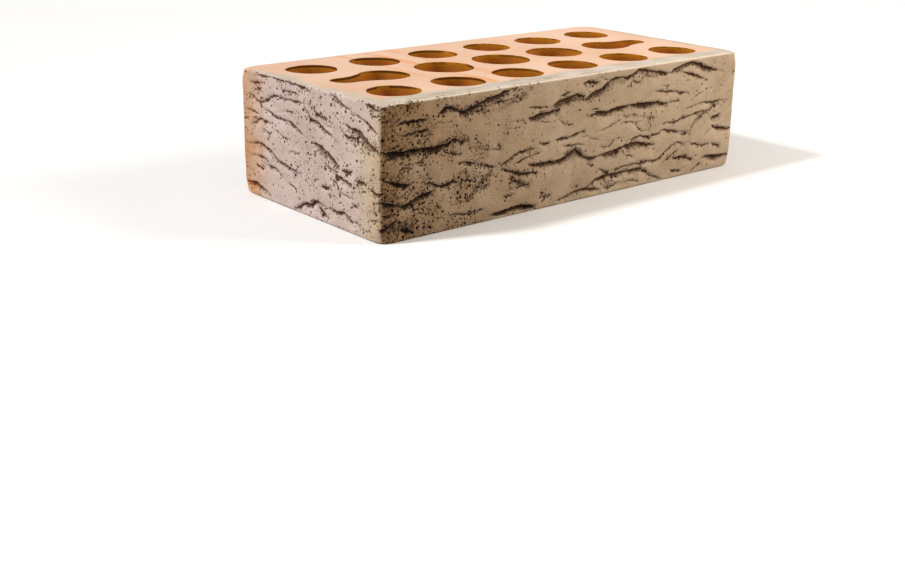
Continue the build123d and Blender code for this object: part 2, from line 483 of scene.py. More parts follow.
def carve_furrow(power, fade, path, seed):
    """Cuts one furrow into the records. power runs from 0 to 1, fade and path are in millimetres."""
    places, rises = np.array(path).T
    reach = places[-1] - places[0]
    along = (around - places[0]) % perimeter
    picked = np.where(along <= reach)[0]
    picked = picked[np.argsort(along[picked])]
    if len(picked) < 3:
        return
    run = along[picked]
    lip = np.interp(run, places - places[0], rises)
    lip = np.convolve(np.pad(lip, 2, mode="edge"), lip_blur, mode="valid")
    lip += 0.7 * drift(run, 7.0, seed) + 0.5 * drift(run, 2.3, seed + 1)
    swell = np.sqrt(np.sin(np.pi * np.clip((run + 0.6) / (reach + 1.2), 0, 1)))
    swell *= np.clip(1 + 0.8 * drift(run, 9.0, seed + 2), 0.2, 1.4)
    ragged = np.clip(1 + 1.2 * drift(run, 2.6, seed + 3), 0.3, 2.0)
    lean = 1 / np.sqrt(1 + np.gradient(lip, perimeter / columns) ** 2)

    below = (lip[:, None] - UP[picked]) * lean[:, None]
    even_half = (at_power(gash_half_width, power) * swell)[:, None]
    half = np.clip(even_half * ragged[:, None], thinnest_half, None)
    depth = (at_power(gash_depth, power) * swell)[:, None]
    past = np.clip(below - 2 * even_half, 0, None)
    foot = np.exp(-past / at_power(foot_reach, power))
    slope = np.clip(1 - past / at_power(slope_reach, power), 0, 1) ** 1.5
    cut = np.where(below < 0, np.exp(-(below / lip_round) ** 2), 0.5 * foot + 0.5 * slope) * depth
    carved[picked] = np.maximum(carved[picked], cut)

    apart = np.abs(below - half) - half
    closer = apart < from_gash[picked]
    presence = np.clip(1.5 - apart, 0, 1) * np.clip((0.3 + 0.8 * power) * swell, 0, 1)[:, None]
    news = [(from_gash, apart), (below_lip, below), (half_gash, half + 0 * below), (strength, presence)]
    for kept, new in news:
        kept[picked] = np.where(closer, new, kept[picked])
    stain = np.where(below < 0, np.exp(below / 0.25), np.exp(-past / fade)) * np.clip(0.2 + 0.9 * power, 0, 1)
    shade[picked] = np.maximum(shade[picked], stain * np.clip(swell, 0, 1)[:, None])

def shaded_smear(amount, wide, path):
    """Drags a soft shallow trace over the sheet, with painted shade in it."""
    places, rises = np.array(path).T
    picked = np.where((around >= places[0] - wide) & (around <= places[-1] + wide))[0]
    line = np.interp(around[picked], places, rises)
    slope = np.gradient(line, perimeter / columns)
    off = (UP[picked] - line[:, None]) / np.sqrt(1 + slope ** 2)[:, None] / wide
    to_start = around[picked] - places[0] + wide
    to_end = places[-1] + wide - around[picked]
    ends = np.clip(np.minimum(to_start, to_end) / wide, 0, 1)
    trace = amount * np.exp(-off ** 2) * ends[:, None]
    shade[picked] = np.maximum(shade[picked], trace)
    carved[picked] = np.maximum(carved[picked], 0.5 * trace)

for number, (power, fade, path) in enumerate(bark):
    carve_furrow(power, fade, path, 4.0 * number + 1)
for amount, wide, path in front_shaded_smears:
    shaded_smear(amount, wide, [(front_starts + s, z) for s, z in path])
print("deepest furrow, mm:", round(carved.max(), 2))

# %% [markdown]
# Pits
#
# Sand grains pulled out of the wet face and left pits, most of them beside the furrows and near the
# near corner, and a fine scatter of them all over the ends. The larger ones are carved here: those
# that can be seen are listed, and the others are drawn at random. The fine ones are left to the paint,
# which reads how pitted each place is. The wire's nicks in the front arris, the slow swelling of the
# face and the wear of the tips come last, and then the sheet is moved by all of it at once.

# %% Pits and the slow swelling of the face
sheet_points = sheet.reshape(-1, 3)
slow = wander(sheet_points, 38.0, 3).reshape(columns, rows)
middling = wander(sheet_points, 11.0, 5).reshape(columns, rows)
fine = wander(sheet_points, 3.6, 7).reshape(columns, rows)

from_near_corner = AROUND - front_starts
on_front = (from_near_corner > 0) & (from_near_corner < length)
on_left_end = AROUND < width

def hill(values, centre, spread):
    """A soft hill over the values, 1 at its centre."""
    return np.exp(-((values - centre) / spread) ** 2)

# Torn patches of the front: place from the near corner, height and radius
torn_patches = [
    (82, 46, 6), (85, 59, 7), (95, 47, 4), (15, 27, 6), (8, 8, 6), (27, 10, 6), (32, 13, 3), (47, 42, 4),
    (56, 20, 7), (60, 38, 5), (102, 6, 4), (133, 60, 5), (180, 35, 3), (234, 29, 4), (84, 17, 6), (6, 18, 6),
    (20, 50, 6), (150, 6, 6), (8, 55, 6), (9, 47, 5), (17, 9, 6),
]
pitted = np.full((columns, rows), 0.33)
pitted[on_front] = 0.18
pitted += 0.76 * on_front * hill(from_near_corner, 3, 52)
pitted += 0.18 * on_front * hill(from_near_corner, 56, 24) * hill(UP, 24, 18)
pitted += 0.42 * on_left_end * hill(AROUND, 109, 12)
pitted += 0.12 * on_left_end * hill(AROUND, 55, 26)
pitted -= 0.30 * on_front * hill(from_near_corner, 28, 7) * (hill(UP, 33, 7) + hill(UP, 15, 4))
for place_along, rise, radius in torn_patches:
    pitted += 0.75 * hill(from_near_corner, place_along, radius) * hill(UP, rise, 0.8 * radius)
pitted += 0.40 * np.exp(-np.clip(from_gash, 0, None) / 2.6) * np.clip(0.5 + strength, 0, 1) + 0.3 * shade
pitted = np.clip(pitted * (1 + 1.0 * middling + 0.5 * slow), 0, 1)

# Single pits of the front: place from the near corner and height
front_pits = [
    (171.5, 46.5), (207.5, 53.5), (205, 56), (220, 50), (224, 47), (228, 47), (237, 47.5), (216, 46.7),
    (198, 33), (206, 34), (212, 42.3), (209.5, 4.5), (219.5, 9.8), (232, 37), (238.5, 36), (150.5, 48.7),
    (123, 60.7), (125.5, 47.5), (93.5, 36), (97.5, 29.2), (107.5, 41.2), (103, 5.8), (125.7, 7.5),
    (140, 12.8), (163, 55.6), (195.5, 58.8), (191, 51), (10.3, 57.5), (26, 57.5), (3.7, 57.5), (41, 13.7),
    (46, 13.7), (83, 47.3), (82, 44),
]
pits_wanted = 240
pit_draw = random.Random(7)
pit_places = [(front_starts + place_along, rise) for place_along, rise in front_pits]
while len(pit_places) < pits_wanted:
    i, j = pit_draw.randrange(columns), pit_draw.randrange(4, rows - 6)
    if pit_draw.random() < pitted[i, j] ** 2:
        pit_places.append((around[i] + pit_draw.uniform(-0.5, 0.5), up[j] + pit_draw.uniform(-0.3, 0.3)))

pit_reach = 2.5
for place_along, rise in pit_places:
    span_i = (int(place_along * columns / perimeter) + np.arange(-3, 5)) % columns
    span_j = np.arange(rows)[np.abs(up - rise) < pit_reach]
    radius = pit_draw.uniform(0.45, 0.75)
    step_i = (around[span_i] - place_along + perimeter / 2) % perimeter - perimeter / 2
    apart = np.hypot(step_i[:, None] / pit_draw.uniform(1.0, 1.8), up[None, span_j] - rise) / radius
    here = np.ix_(span_i, span_j)
    carved[here] = np.maximum(carved[here], pit_draw.uniform(0.45, 0.9) * np.clip(1.2 - apart, 0, 1))
    # The pit is painted dark, as shade
    shade[here] = np.maximum(shade[here], 1.2 * np.clip(1.35 - apart, 0, 1))

# Nicks where the wire tore the front arris: places from the near corner
arris_nicks = [17.5, 33.6, 36.8, 52.4, 71.0, 96.5]
for place_along in arris_nicks:
    column = int(round((front_starts + place_along) * columns / perimeter))
    torn_edge = up > height - pit_draw.uniform(0.2, 1.6)
    # The nick is painted dark, as shade
    shade[column, torn_edge] = 1.3
    carved[column, torn_edge] = np.maximum(carved[column, torn_edge], 0.7)

corner_places = (left_end_starts, front_starts, right_end_starts, back_starts)
to_corner = np.minimum.reduce([np.abs((AROUND - corner + perimeter / 2) % perimeter - perimeter / 2)
                               for corner in corner_places])

# The carving fades at the upright corners and at the beds, and the face swells slowly between
corner_keeps = 0.25 + 0.75 * np.clip(to_corner / 8.0, 0, 1)
swelling = 0.30 + 0.30 * slow + 0.16 * middling + 0.08 * fine
relief = carved * corner_keeps + np.clip(swelling, 0, None)
relief *= np.clip((height + arris_radius - UP) / 2.0, 0, 1) * np.clip((UP + arris_radius) / 2.0, 0, 1)

# The eight tips are worn by handling
tip_wear = 1.3
tip_spread = 4.5
to_bed = np.minimum(height + arris_radius - UP, UP + arris_radius)
relief += tip_wear * hill(to_corner, 0, tip_spread) * hill(to_bed, arris_radius, 4.0)
sheet -= sheet_facing * relief[..., None]
print("pits carved:", len(pit_places), "mean relief, mm:", round(relief.mean(), 2))

# %% [markdown]
# Where the engobe lies
#
# The slip was sprayed on the long face. It covers the front, wraps round both ends and thins out a
# few millimetres short of the back, where the orange clay shows. On the beds it is a pale strip along
# the front and, narrower, along the ends. Again a distance is kept: millimetres inside the edge of the
# coat. A second record says how brown the coat is: most on the front near the near corner, least on
# the ends. Part of it is the browning of the kiln, and part is painted shade, where the lamp's light
# fades along the front towards the near corner and the rounded corner turns away from the light.

# %% Engobe and firing records of the sides, with painted shade in the firing record
coat_at_back_edge = -3.0
bare_back = -9.0
bare_over = 14.0

from_back_edge = np.minimum(AROUND, np.abs(back_starts - AROUND))
into_back = np.minimum(AROUND - back_starts, perimeter - AROUND)
coat = coat_at_back_edge + 0.28 * from_back_edge - 14.0 * shade * np.exp(-from_back_edge / 8)
bare = coat_at_back_edge + (bare_back - coat_at_back_edge) * np.clip(into_back / bare_over, 0, 1)
coat = np.where(AROUND >= back_starts, bare, coat)
bare_corner = on_left_end & (UP < 6.2 - 0.30 * AROUND)
coat = np.where(bare_corner, -5.0, coat)
coat += 2.0 * slow + 2.0 * middling

# Browner towards the near corner: partly the kiln, and partly painted shade where the lamp's light fades and
# the rounded corner turns away from the light
firing_places = [0, 3, 10, 30, 60, 110, 180, 250]
firing_and_shade_levels = [1.30, 1.20, 1.02, 0.88, 0.77, 0.67, 0.55, 0.58]
front_firing_and_shade = np.interp(from_near_corner, firing_places, firing_and_shade_levels)
firing = np.where(on_front, front_firing_and_shade, 0.10)

# Places that are browner or paler than their neighbours
firing += 0.52 * on_left_end * hill(AROUND + 7 * middling, width, 15) * np.clip((52 - UP) / 10, 0.35, 1)
firing += 0.14 * on_left_end * hill(AROUND, 8, 9)
# Painted shade on the upper front by the near corner, where the rounded corner turns from the light
firing += 0.24 * on_front * hill(from_near_corner, 0, 42) * np.clip((UP - 36) / 14, 0, 1)
firing -= 0.10 * on_front * hill(from_near_corner, 22, 13) * hill(UP, 28, 14)
firing += 0.10 * on_front * hill(from_near_corner, 92, 14) * hill(UP, 53, 8)
firing[AROUND >= right_end_starts] = 0.2

# Soft changes round the corners, and less brown towards the upper arris
blur = np.hanning(7)
blur /= blur.sum()

def blurred(line):
    """A closed line of records, each averaged with its neighbours."""
    return np.convolve(np.pad(line, 3, mode="wrap"), blur, mode="valid")

firing = np.apply_along_axis(blurred, 0, firing)
firing = np.clip(firing * (1 + 0.2 * slow + 0.15 * middling), 0, 1.3)
firing = np.minimum(firing, 0.1 + on_front * 0.35 + np.clip((height + 0.5 - UP) / 2.0, 0, 2))
print("coated share of the sides:", round(float((coat > 0).mean()), 2))

# %% [markdown]
# Openings
#
# The openings are read from the CAD brick itself: the edges where its upper bed stops. Each is walked
# round at even steps, and a stack of rings drops from its rim to the other bed. A cutting wire drags
# the wet clay, so the rims are a little rounded and torn and the walls are not quite true.

# %% Read the openings from the frame
steps_per_opening = 60

def bed_loops(mesh):
    """Closed loops of points, in mm, along the edges of the upper bed of the CAD brick."""
    work = bmesh.new()
    work.from_mesh(mesh)
    bmesh.ops.remove_doubles(work, verts=work.verts, dist=0.01 * MM)
    top = max(vertex.co.z for vertex in work.verts)
    bed = {face for face in work.faces if all(top - vertex.co.z < 0.01 * MM for vertex in face.verts)}
    ways = {}
    for face in bed:
        for corner in face.loops:
            if not any(other in bed for other in corner.edge.link_faces if other is not face):
                ways[corner.vert] = corner.link_loop_next.vert
    loops = []
    while ways:
        vertex = next(iter(ways))
        loop = []
        while vertex in ways:
            loop.append((vertex.co.x / MM, vertex.co.y / MM))
            vertex = ways.pop(vertex)
        loops.append(np.array(loop))
    work.free()
    return loops

def even_steps(loop, count):
    """The same loop walked at even steps, from its point furthest to +X."""
    loop = np.roll(loop, -int(np.argmax(loop[:, 0])), axis=0)
    closed = np.vstack([loop, loop[:1]])
    walked = np.concatenate([[0], np.cumsum(np.hypot(*np.diff(closed, axis=0).T))])
    marks = np.linspace(0, walked[-1], count, endpoint=False)
    return np.stack([np.interp(marks, walked, closed[:, axis]) for axis in (0, 1)], axis=1)

loops = bed_loops(frame["nodes"]["brick"].data)
loops.sort(key=lambda loop: np.ptp(loop[:, 0]))
openings = [even_steps(loop, steps_per_opening) for loop in loops[:-1]]
openings.sort(key=lambda loop: (round(loop[:, 1].mean()), loop[:, 0].mean()))
opening_widths = sorted({round(float(np.ptp(loop[:, 0])), 1) for loop in openings})
print("openings:", len(openings), "widths, mm:", opening_widths)

# %% [markdown]
# The beds
#
# A bed is a flat sheet with holes in it, which a constrained Delaunay triangulation fills well: it is
# given the outer loop, the rim of every opening and a loose scatter of points between them, and it
# joins them with well-shaped triangles. The scatter lets the bed rise and dip by a tenth of a
# millimetre, as wire-cut clay does.

# %% Build the beds and the walls of the openings
vertices = [sheet.reshape(-1, 3)]
records = {
    "below": [below_lip.ravel()],
    "half": [half_gash.ravel()],
    "strength": [strength.ravel()],
    "shade": [shade.ravel()],
    "pitted": [pitted.ravel()],
    "coat": [coat.ravel()],
    "firing": [firing.ravel()],
}
plain_records = {
    "below": far_away,
    "half": thinnest_half,
    "strength": 0.0,
    "shade": 0.0,
    "pitted": 0.1,
    "coat": -far_away,
    "firing": 0.0,
}
faces, face_finish = [], []
BARK, BED, WALL = 0, 1, 2

def point_number(i, j):
    """The number of a point of the sheet, counted on past the seam."""
    return (i % columns) * rows + j

for i in range(columns):
    for j in range(rows - 1):
        corners = [(i, j), (i + 1, j), (i + 1, j + 1), (i, j + 1)]
        faces.append(tuple(point_number(*corner) for corner in corners))
face_finish += [BARK] * len(faces)

def add_points(points, **values):
    """Adds points and their records, and returns the number of the first one."""
    first = sum(len(block) for block in vertices)
    vertices.append(np.asarray(points, float))
    for name, default in plain_records.items():
        value = values.get(name, default)
        records[name].append(np.broadcast_to(np.asarray(value, float), len(points)).copy())
    return first

front_strip = 13.5
end_strip = 8.5
strip_drift = 1.6

def bed_coat(points):
    """How far inside the pale strip a point of a bed lies, in mm."""
    x, y = points[:, 0], points[:, 1]
    patchy = 4.0 * wander(np.column_stack([x, y, 0 * x]), 14.0, 12)
    narrowed = end_strip * (1 - 0.5 * (y / width + 0.5))
    inside = np.maximum(front_strip - (y + width / 2), 0.4 * (narrowed + patchy - (x + length / 2)))
    inside = np.maximum(inside, 0.4 * (3.0 + patchy - (length / 2 - x)))
    return inside + strip_drift * wander(np.column_stack([x, y, 0 * x]), 26.0, 11)

def bed_dip(points, seed):
    """How far a point of a bed lies under its plane, in mm."""
    flat = np.column_stack([points, np.full(len(points), 50.0 * seed)])
    return np.clip(0.06 + 0.08 * wander(flat, 30.0, seed) + 0.03 * wander(flat, 8.0, seed), 0, None)

# Rim of an opening: how far outside it and how deep each ring of points lies
rim_profile = [(1.3, 0.0), (0.55, 0.05), (0.18, 0.28), (0.0, 0.7)]
wall_depths = [1.3, 3.0, 9.0, 24.0]
rim_bend = 1.1
rim_drag = 0.6

def outward(loop):
    """Directions from an opening into the clay around it."""
    step = np.roll(loop, -1, axis=0) - np.roll(loop, 1, axis=0)
    side = np.column_stack([step[:, 1], -step[:, 0]])
    side /= np.hypot(*side.T)[:, None]
    away = (side * (loop - loop.mean(axis=0))).sum(axis=1).mean()
    return side if away > 0 else -side

rings = {"top": [], "bottom": []}
for number, loop in enumerate(openings):
    normal = outward(loop)
    depths = rim_profile + [(0.0, depth) for depth in wall_depths]
    levels = [(out, height - deep, deep) for out, deep in depths]
    levels += [(out, deep, deep) for out, deep in reversed(depths)]
    firsts = []
    for out, level, deep in levels:
        upper_half = level > height / 2
        spot = np.column_stack([loop, np.full(len(loop), level)])
        rim_spot = np.column_stack([loop, np.full(len(loop), height if upper_half else 0.0)])
        bent = rim_bend * wander(rim_spot, 16.0, 60 + number) * math.exp(-deep / 8.0)
        crumbled = 0.4 * wander(spot, 1.8, 40 + number) * math.exp(-deep / 2.0)
        torn = 0.5 * wander(spot, 5.0, 20 + number) + crumbled
        dragged = rim_drag * torn if out < 1 else 0.0
        moved_loop = loop + normal * (out + bent + dragged)[:, None]
        points = np.column_stack([moved_loop, np.full(len(loop), level)])
        if deep == 0:
            dip = bed_dip(moved_loop, 1 if upper_half else 2)
            points[:, 2] += -dip if upper_half else dip
        # Painted shadow just under the torn rim, kept in the shade record
        rim_shade = 0.7 * math.exp(-((deep - 0.7) / 0.5) ** 2) if deep > 0.1 else 0.0
        ring_coat = bed_coat(moved_loop) if deep < 1 else -far_away
        firsts.append(add_points(points, coat=ring_coat, shade=rim_shade))
    rings["top"].append(firsts[0])
    rings["bottom"].append(firsts[-1])
    steps = len(loop)
    turn_left = np.cross(loop[1] - loop[0], normal[0]) < 0
    bed_rings = (firsts[0], firsts[1], firsts[-2], firsts[-3])
    for upper, lower in zip(firsts, firsts[1:]):
        for k in range(steps):
            quad = (upper + k, upper + (k + 1) % steps, lower + (k + 1) % steps, lower + k)
            faces.append(quad if turn_left else quad[::-1])
            face_finish.append(BED if upper in bed_rings else WALL)

scatter_step = 2.7
row_step = 0.87 * scatter_step
edge_room = 2.0
rim_room = 1.9
bed_draw = random.Random(19)

def fill_bed(outer, ring_firsts, level, seed, facing_up):
    """Triangles of one bed between its outer loop and the rings of the openings."""
    everything = np.vstack(vertices)
    loops_here = [outer] + [list(range(first, first + steps_per_opening)) for first in ring_firsts]
    fixed = [number for loop in loops_here for number in loop]
    plane = everything[fixed][:, :2]
    scatter = []
    for r in range(int(width / row_step)):
        for c in range(int(length / scatter_step)):
            x = -length / 2 + (c + 0.5 * (r % 2) + 0.5) * scatter_step + bed_draw.uniform(-0.5, 0.5)
            y = -width / 2 + (r + 0.5) * row_step + bed_draw.uniform(-0.5, 0.5)
            scatter.append((x, y))
    scatter = np.array(scatter)
    apart = scatter[:, None] - plane[None]
    keep = np.hypot(apart[..., 0], apart[..., 1]).min(axis=1) > rim_room
    keep &= np.abs(scatter[:, 0]) < length / 2 - arris_radius - edge_room
    keep &= np.abs(scatter[:, 1]) < width / 2 - arris_radius - edge_room
    for loop in loops_here[1:]:
        ring = everything[loop][:, :2]
        turned = np.roll(ring, -1, axis=0)
        crossing = np.zeros(len(scatter), int)
        for a, b in zip(ring, turned):
            over = (a[1] > scatter[:, 1]) != (b[1] > scatter[:, 1])
            climb = b[1] - a[1] if b[1] != a[1] else 1e-9
            at = a[0] + (scatter[:, 1] - a[1]) * (b[0] - a[0]) / climb
            crossing += over & (scatter[:, 0] < at)
        keep &= crossing % 2 == 0
    scatter = scatter[keep]
    dip = bed_dip(scatter, seed)
    heights = level - dip if facing_up else level + dip
    first = add_points(np.column_stack([scatter, heights]), coat=bed_coat(scatter))
    numbers = fixed + list(range(first, first + len(scatter)))
    edges, at = [], 0
    for loop in loops_here:
        edges += [(at + k, at + (k + 1) % len(loop)) for k in range(len(loop))]
        at += len(loop)
    spots = [Vector(spot) for spot in np.vstack([plane, scatter])]
    _, _, triangles, sources, _, _ = delaunay_2d_cdt(spots, edges, [], 1, 1e-5)
    back = [numbers[source[0]] for source in sources]
    ring_of = {number: ring for ring, loop in enumerate(loops_here[1:]) for number in loop}
    for triangle in triangles:
        corners = [back[k] for k in triangle]
        held = {ring_of.get(number, -1) for number in corners}
        if len(held) == 1 and held != {-1}:
            continue
        faces.append(tuple(corners) if facing_up else tuple(reversed(corners)))
        face_finish.append(BED)
    return len(scatter)

outer_top = [point_number(i, rows - 1) for i in range(columns)]
outer_bottom = [point_number(i, 0) for i in range(columns)]
top_scatter = fill_bed(outer_top, rings["top"], height, 1, True)
bottom_scatter = fill_bed(outer_bottom, rings["bottom"], 0.0, 2, False)
triangle_count = sum(len(face) - 2 for face in faces)
print("scatter points on the beds:", top_scatter, bottom_scatter, "triangles in all:", triangle_count)

# %% [markdown]
# The brick's mesh
#
# All the points go into one closed mesh. The records become named attributes of its points, so the
# materials can read them by name, in the render and in any later export.

# %% Make the brick
brick_mesh = bpy.data.meshes.new("bark_brick")
brick_mesh.from_pydata((np.vstack(vertices) * MM).tolist(), [], faces)
brick_mesh.polygons.foreach_set("use_smooth", [True] * len(faces))
brick_mesh.polygons.foreach_set("material_index", face_finish)
for name, blocks in records.items():
    attribute = brick_mesh.attributes.new(name, "FLOAT", "POINT")
    attribute.data.foreach_set("value", np.concatenate(blocks).astype(np.float32))
brick_mesh.validate()
brick_mesh.update()
brick = bpy.data.objects.new("bark_brick", brick_mesh)
bpy.context.collection.objects.link(brick)
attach(brick, "root")
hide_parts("brick")
print("brick mesh:", len(brick_mesh.vertices), "points,", len(brick_mesh.polygons), "faces")

# %% [markdown]
# Tools for the paint
#
# A node material is a small flow chart. A few helpers keep the charts short: they place a node and
# fill its sockets, do arithmetic, ease a value from 0 to 1 between two limits, mix colours, and read
# the records that the carving left.

# %% Node helpers
def place(tree, kind, sockets=None, **options):
    """Places a node, sets its options and fills its sockets with values or with other outputs."""
    node = tree.nodes.new(kind)
    for name, value in options.items():
        setattr(node, name, value)
    for name, value in (sockets or {}).items():
        if isinstance(value, bpy.types.NodeSocket):
            tree.links.new(value, node.inputs[name])
        else:
            node.inputs[name].default_value = value
    return node

def sums(tree, operation, first, second=0.0, third=0.0):
    """One step of arithmetic."""
    return place(tree, "ShaderNodeMath", {0: first, 1: second, 2: third}, operation=operation).outputs[0]

def times(tree, *values):
    """The product of the values."""
    product = values[0]
    for value in values[1:]:
        product = sums(tree, "MULTIPLY", product, value)
    return product

def most_of(tree, *values):
    """The largest of the values."""
    largest = values[0]
    for value in values[1:]:
        largest = sums(tree, "MAXIMUM", largest, value)
    return largest

def plus(tree, base, value, amount):
    """The base with that many times the value added."""
    return sums(tree, "MULTIPLY_ADD", value, amount, base)

def vectors(tree, operation, first, second, third=(0.0, 0.0, 0.0)):
    """One step of arithmetic with vectors."""
    node = place(tree, "ShaderNodeVectorMath", {0: first, 1: second, 2: third}, operation=operation)
    return node.outputs["Value" if operation == "DOT_PRODUCT" else "Vector"]

def ease(tree, value, start, end, low=0.0, high=1.0):
    """Goes smoothly from low to high as the value goes from start to end."""
    sockets = {"Value": value, "From Min": start, "From Max": end, "To Min": low, "To Max": high}
    return place(tree, "ShaderNodeMapRange", sockets, interpolation_type="SMOOTHSTEP").outputs[0]

def rgb(red, green, blue):
    """A colour as the eye names it (0 to 255), turned into light."""
    parts = [c / 255 for c in (red, green, blue)]
    light = [((c + 0.055) / 1.055) ** 2.4 if c > 0.04 else c / 12.92 for c in parts]
    return (*light, 1.0)

def mix_colours(tree, share, first, second, way="MIX"):
    """The first colour with that share of the second."""
    sockets = {0: share, 6: first, 7: second}
    return place(tree, "ShaderNodeMix", sockets, data_type="RGBA", blend_type=way).outputs[2]

def record(tree, name):
    """A record that the carving left on the mesh."""
    return place(tree, "ShaderNodeAttribute", attribute_name=name).outputs["Fac"]

def object_place(tree):
    """The place of a point in the brick's own frame."""
    return place(tree, "ShaderNodeTexCoord").outputs["Object"]

def noise_at(tree, where, grain_mm, detail=2.0, roughness=0.5):
    """Noise with grains about that many millimetres across."""
    sockets = {"Vector": where, "Scale": 1 / (grain_mm * MM), "Detail": detail, "Roughness": roughness}
    return place(tree, "ShaderNodeTexNoise", sockets).outputs[0]

def even_noise(tree, where, grain_mm, detail=2.0, roughness=0.5):
    """The same noise, moved so that it goes up and down about 0."""
    return sums(tree, "SUBTRACT", noise_at(tree, where, grain_mm, detail, roughness), 0.5)

def new_group(name, inputs, outputs):
    """An empty node group with named sockets."""
    group = bpy.data.node_groups.new(name, "ShaderNodeTree")
    for socket_name, kind, value in inputs:
        socket = group.interface.new_socket(socket_name, in_out="INPUT", socket_type=kind)
        socket.default_value = value
    for socket_name, kind in outputs:
        group.interface.new_socket(socket_name, in_out="OUTPUT", socket_type=kind)
    return group, group.nodes.new("NodeGroupInput"), group.nodes.new("NodeGroupOutput")

def use_group(tree, group, sockets):
    """Places a group in a material with values of its own."""
    return place(tree, "ShaderNodeGroup", sockets, node_tree=group)

FLOAT, COLOUR = "NodeSocketFloat", "NodeSocketColor"
print("node helpers ready")

# %% [markdown]
# Clay grain
#
# Every face of the brick is clay with sand in it, so one group gives all three materials their grain:
# a shade that goes slightly up and down, and a height for the bump.

# %% Clay grain group
grain_group, grain_in, grain_out = new_group(
    "clay grain",
    [("Grain mm", FLOAT, 0.6), ("Contrast", FLOAT, 0.1)],
    [("Shade", FLOAT), ("Height", FLOAT)])
grain_where = object_place(grain_group)
grain_scale = sums(grain_group, "DIVIDE", 1 / MM, grain_in.outputs["Grain mm"])
grain_sand = place(grain_group, "ShaderNodeTexNoise",
                   {"Vector": grain_where, "Scale": grain_scale, "Detail": 2.0, "Roughness": 0.6}).outputs[0]
grain_cloud = noise_at(grain_group, grain_where, 7.0, 3.0, 0.55)
grain_even = sums(grain_group, "SUBTRACT", plus(grain_group, grain_sand, grain_cloud, 0.6), 0.8)
grain_shade = plus(grain_group, 1.0, grain_even, grain_in.outputs["Contrast"])
grain_group.links.new(grain_shade, grain_out.inputs["Shade"])
grain_group.links.new(grain_sand, grain_out.inputs["Height"])
print("group:", grain_group.name)

# %% [markdown]
# Engobe edge
#
# Sprayed slip does not stop at a line. This group takes the distance inside the coat, roughens it with
# noise, and gives the share of slip that covers the clay. Sides and beds both use it, with a wide
# feather on the sides and a narrow one on the beds.

# %% Engobe edge group
edge_group, edge_in, edge_out = new_group(
    "engobe edge",
    [("Inside mm", FLOAT, 0.0), ("Feather mm", FLOAT, 3.0), ("Rough mm", FLOAT, 3.0)],
    [("Cover", FLOAT)])
edge_noise = even_noise(edge_group, object_place(edge_group), 5.0, 4.0, 0.6)
edge_moved = plus(edge_group, edge_in.outputs["Inside mm"], edge_noise, edge_in.outputs["Rough mm"])
edge_less = times(edge_group, edge_in.outputs["Feather mm"], -1.0)
edge_cover = ease(edge_group, edge_moved, edge_less, edge_in.outputs["Feather mm"])
edge_group.links.new(edge_cover, edge_out.inputs["Cover"])

def slip_cover(tree, feather_mm, rough_mm):
    """The share of slip that covers the clay, from the coat record."""
    sockets = {"Inside mm": record(tree, "coat"), "Feather mm": feather_mm, "Rough mm": rough_mm}
    return use_group(tree, edge_group, sockets).outputs["Cover"]

print("group:", edge_group.name)

# %% [markdown]
# Firing
#
# In the kiln the same clay comes out in several tones. This group drifts between two colours in slow
# clouds, and each material gives it its own pair.

# %% Firing group
firing_group, firing_in, firing_out = new_group(
    "firing",
    [("Pale", COLOUR, (1, 1, 1, 1)), ("Deep", COLOUR, (0, 0, 0, 1)), ("Cloud mm", FLOAT, 40.0)],
    [("Colour", COLOUR)])
firing_scale = sums(firing_group, "DIVIDE", 1 / MM, firing_in.outputs["Cloud mm"])
firing_cloud = place(firing_group, "ShaderNodeTexNoise",
                     {"Vector": object_place(firing_group), "Scale": firing_scale, "Detail": 3.0}).outputs[0]
firing_share = ease(firing_group, firing_cloud, 0.3, 0.7)
firing_colour = mix_colours(firing_group, firing_share, firing_in.outputs["Pale"], firing_in.outputs["Deep"])
firing_group.links.new(firing_colour, firing_out.inputs["Colour"])

def tone(tree, pale, deep, cloud_mm):
    """Clay that drifts between two colours, in clouds about that many millimetres across."""
    sockets = {"Pale": rgb(*pale), "Deep": rgb(*deep), "Cloud mm": cloud_mm}
    return use_group(tree, firing_group, sockets).outputs[0]

print("group:", firing_group.name)

# %% [markdown]
# The bark finish
#
# From the inside out: orange clay, engobe over it that goes from grey on the ends to brown on the front,
# painted brown shade around each furrow, and the gash in two tones of painted shade, a dark shadow close
# under the lip and a lighter shaded hollow below it. Noise frays the edges of the dark, and two sizes of
# scattered cells make the fine pits, painted dark as shade. Painted highlights lie as pale specks in the
# pitted places, as pale lips, and as a pale line along the upper arris of the front.

# %% Bark material
clay_gloss = 0.08

def new_material(name):
    """An empty node material and its chart."""
    material = bpy.data.materials.new(name)
    material.use_nodes = True
    material.node_tree.nodes.clear()
    return material, material.node_tree

def finish_material(material, colour, roughness, bump_height, bump_mm):
    """Ends a finish in matt clay with a bump, and gives it to the brick."""
    tree = material.node_tree
    bump = place(tree, "ShaderNodeBump", {"Height": bump_height, "Strength": 1.0, "Distance": bump_mm * MM})
    sockets = {"Base Color": colour, "Roughness": roughness, "Normal": bump.outputs[0]}
    shader = place(tree, "ShaderNodeBsdfPrincipled", {**sockets, "Specular IOR Level": clay_gloss})
    place(tree, "ShaderNodeOutputMaterial", {"Surface": shader.outputs[0]})
    brick_mesh.materials.append(material)
    print("material:", material.name, "with", len(tree.nodes), "nodes")

def pit_cells(tree, where, cell_mm, pitting, least, most):
    """Scattered pits: one in each cell that the pitting record lets through."""
    sockets = {"Vector": where, "Scale": 1 / (cell_mm * MM), "Randomness": 1.0}
    cells = place(tree, "ShaderNodeTexVoronoi", sockets)
    chance = place(tree, "ShaderNodeSeparateColor", {0: cells.outputs["Color"]})
    wanted = sums(tree, "GREATER_THAN", pitting, chance.outputs[0])
    size = plus(tree, least, chance.outputs[1], most - least)
    size = times(tree, size, plus(tree, 0.63, pitting, 0.8))
    spot = ease(tree, sums(tree, "DIVIDE", cells.outputs["Distance"], size), 1.1, 0.7)
    return times(tree, spot, wanted)

